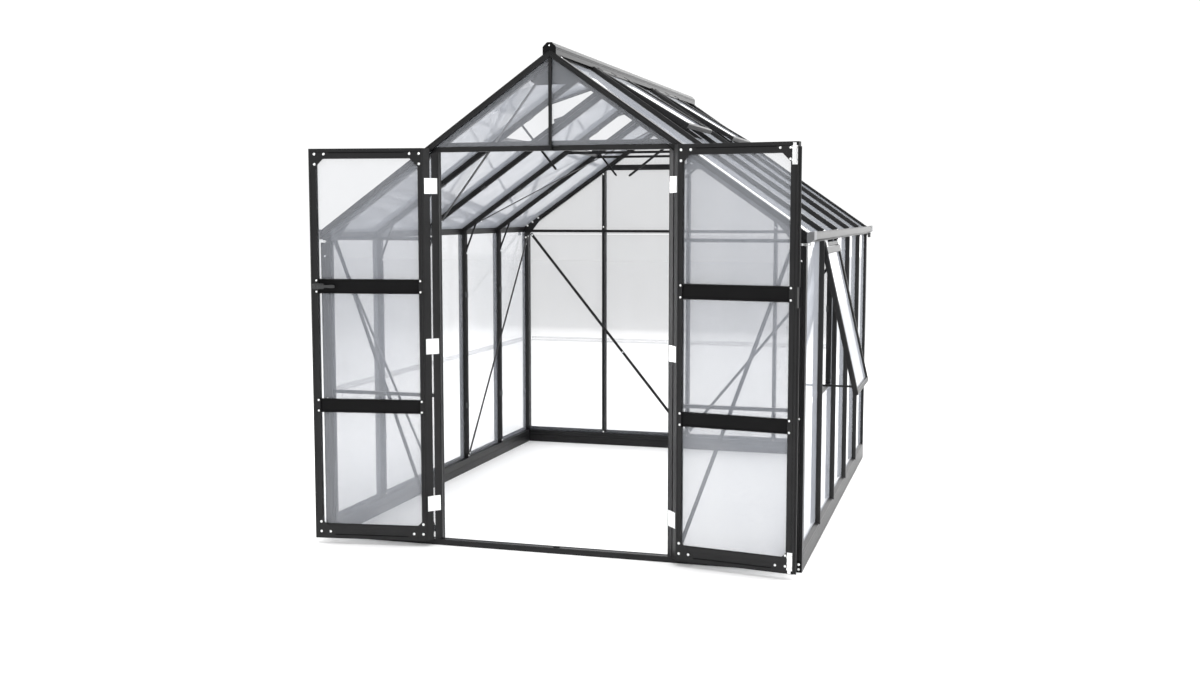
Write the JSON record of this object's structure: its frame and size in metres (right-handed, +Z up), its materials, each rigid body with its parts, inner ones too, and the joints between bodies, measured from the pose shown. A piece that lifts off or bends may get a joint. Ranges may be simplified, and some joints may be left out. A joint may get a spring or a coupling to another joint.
{
  "type": "greenhouse",
  "caption": "Walk-in gable greenhouse with a black metal frame, glazed double doors, hinged roof vents, a top-hung side window and eave gutters.",
  "frame": {"origin": "on the ground under the middle of the front sill, midway between the door jambs", "axes": "+Y from the doors to the back wall, +Z up, +X to the right when facing the doors from outside"},
  "size_m": [2.8005, 3.3561, 2.585],
  "materials": {
    "black_frame": "satin black powder coat on extruded aluminium",
    "clear_glass": "clear toughened glass, 4 mm",
    "mill_aluminium": "bright, almost white",
    "black_plastic": "black moulded plastic"
  },
  "bodies": {
    "frame": {"front_sill": "black_frame", "rear_sill": "black_frame", "left_sill": "black_frame", "right_sill": "black_frame", "front_left_post": "black_frame", "front_right_post": "black_frame", "rear_left_post": "black_frame", "rear_right_post": "black_frame", "left_door_jamb": "black_frame", "right_door_jamb": "black_frame", "door_lintel": "black_frame", "front_gable_rafters": "black_frame", "rear_gable_rafters": "black_frame", "front_gable_mullion": "black_frame", "front_left_bay_rails": "black_frame", "front_right_bay_rails": "black_frame", "frame_arch_1": "black_frame", "frame_arch_2": "black_frame", "frame_arch_3": "black_frame", "frame_arch_4": "black_frame", "ridge_bar": "black_frame", "left_gutter": "black_frame", "right_gutter": "black_frame", "front_left_brace": "black_frame", "rear_left_brace": "black_frame", "front_right_brace": "black_frame", "rear_right_brace": "black_frame", "rear_wall_studs": "black_frame", "rear_wall_brace": "black_frame", "left_wall_glass": "clear_glass", "right_wall_glass": "clear_glass", "front_left_glass": "clear_glass", "front_right_glass": "clear_glass", "front_gable_glass": "clear_glass", "rear_wall_glass": "clear_glass", "left_roof_glass": "clear_glass", "right_roof_glass": "clear_glass"},
    "left_door": {"left_door_frame": "black_frame", "left_door_glass": "clear_glass"},
    "left_door_handle": {"left_door_handle": "black_plastic"},
    "right_door": {"right_door_frame": "black_frame", "right_door_glass": "clear_glass"},
    "right_door_top_bolt": {"right_door_top_bolt": "mill_aluminium"},
    "right_door_bottom_bolt": {"right_door_bottom_bolt": "mill_aluminium"},
    "left_vent_1": {"left_vent_1_frame": "black_frame", "left_vent_1_glass": "clear_glass"},
    "left_vent_1_stay": {"left_vent_1_stay": "black_frame"},
    "left_vent_2": {"left_vent_2_frame": "black_frame", "left_vent_2_glass": "clear_glass"},
    "left_vent_2_stay": {"left_vent_2_stay": "black_frame"},
    "right_vent_1": {"right_vent_1_frame": "black_frame", "right_vent_1_glass": "clear_glass"},
    "right_vent_1_stay": {"right_vent_1_stay": "black_frame"},
    "right_vent_2": {"right_vent_2_frame": "black_frame", "right_vent_2_glass": "clear_glass"},
    "right_vent_2_stay": {"right_vent_2_stay": "black_frame"},
    "side_window": {"side_window_frame": "black_frame", "side_window_glass": "clear_glass"},
    "side_window_stay": {"side_window_stay": "black_frame"}
  },
  "joints": [
    {"name": "left_door_swing", "type": "hinge", "parent": "frame", "child": "left_door", "pos_m": [-0.64, -0.045, 0], "axis": [0, 0, 1], "range_deg": [0, 171]},
    {"name": "right_door_swing", "type": "hinge", "parent": "frame", "child": "right_door", "pos_m": [0.64, -0.045, 0], "axis": [0, 0, 1], "range_deg": [-171, 0]},
    {"name": "left_door_handle_turn", "type": "hinge", "parent": "left_door", "child": "left_door_handle", "pos_m": [-1.23629, -0.17316, 1.363], "axis": [-0.1564, 0.9877, 0], "range_deg": [0, 90]},
    {"name": "right_door_top_bolt_slide", "type": "slide", "parent": "right_door", "child": "right_door_top_bolt", "axis": [0, 0, 1], "range_m": [-0.018, 0.006]},
    {"name": "right_door_bottom_bolt_slide", "type": "slide", "parent": "right_door", "child": "right_door_bottom_bolt", "axis": [0, 0, -1], "range_m": [-0.01, 0.015]},
    {"name": "left_vent_1_tilt", "type": "hinge", "parent": "frame", "child": "left_vent_1", "pos_m": [-0.0516, 0.929, 2.52607], "axis": [0, 1, 0], "range_deg": [-18, 17]},
    {"name": "left_vent_1_stay_fold", "type": "hinge", "parent": "left_vent_1", "child": "left_vent_1_stay", "pos_m": [-0.56114, 0.929, 2.33205], "axis": [0, -1, 0], "range_deg": [0, 60]},
    {"name": "left_vent_2_tilt", "type": "hinge", "parent": "frame", "child": "left_vent_2", "pos_m": [-0.0516, 2.201, 2.52607], "axis": [0, 1, 0], "range_deg": [-18, 17]},
    {"name": "left_vent_2_stay_fold", "type": "hinge", "parent": "left_vent_2", "child": "left_vent_2_stay", "pos_m": [-0.56114, 2.201, 2.33205], "axis": [0, -1, 0], "range_deg": [0, 60]},
    {"name": "right_vent_1_tilt", "type": "hinge", "parent": "frame", "child": "right_vent_1", "pos_m": [0.0516, 0.929, 2.52607], "axis": [0, -1, 0], "range_deg": [-4, 31]},
    {"name": "right_vent_1_stay_fold", "type": "hinge", "parent": "right_vent_1", "child": "right_vent_1_stay", "pos_m": [0.49907, 0.929, 2.21454], "axis": [0, 1, 0], "range_deg": [0, 60]},
    {"name": "right_vent_2_tilt", "type": "hinge", "parent": "frame", "child": "right_vent_2", "pos_m": [0.0516, 2.201, 2.52607], "axis": [0, -1, 0], "range_deg": [-4, 31]},
    {"name": "right_vent_2_stay_fold", "type": "hinge", "parent": "right_vent_2", "child": "right_vent_2_stay", "pos_m": [0.49907, 2.201, 2.21454], "axis": [0, 1, 0], "range_deg": [0, 60]},
    {"name": "side_window_tilt", "type": "hinge", "parent": "frame", "child": "side_window", "pos_m": [1.296, 0.929, 1.592], "axis": [0, -1, 0], "range_deg": [-13, 30]},
    {"name": "side_window_stay_fold", "type": "hinge", "parent": "side_window", "child": "side_window_stay", "pos_m": [1.44148, 0.929, 0.79736], "axis": [0, 1, 0], "range_deg": [0, 50]}
  ]
}
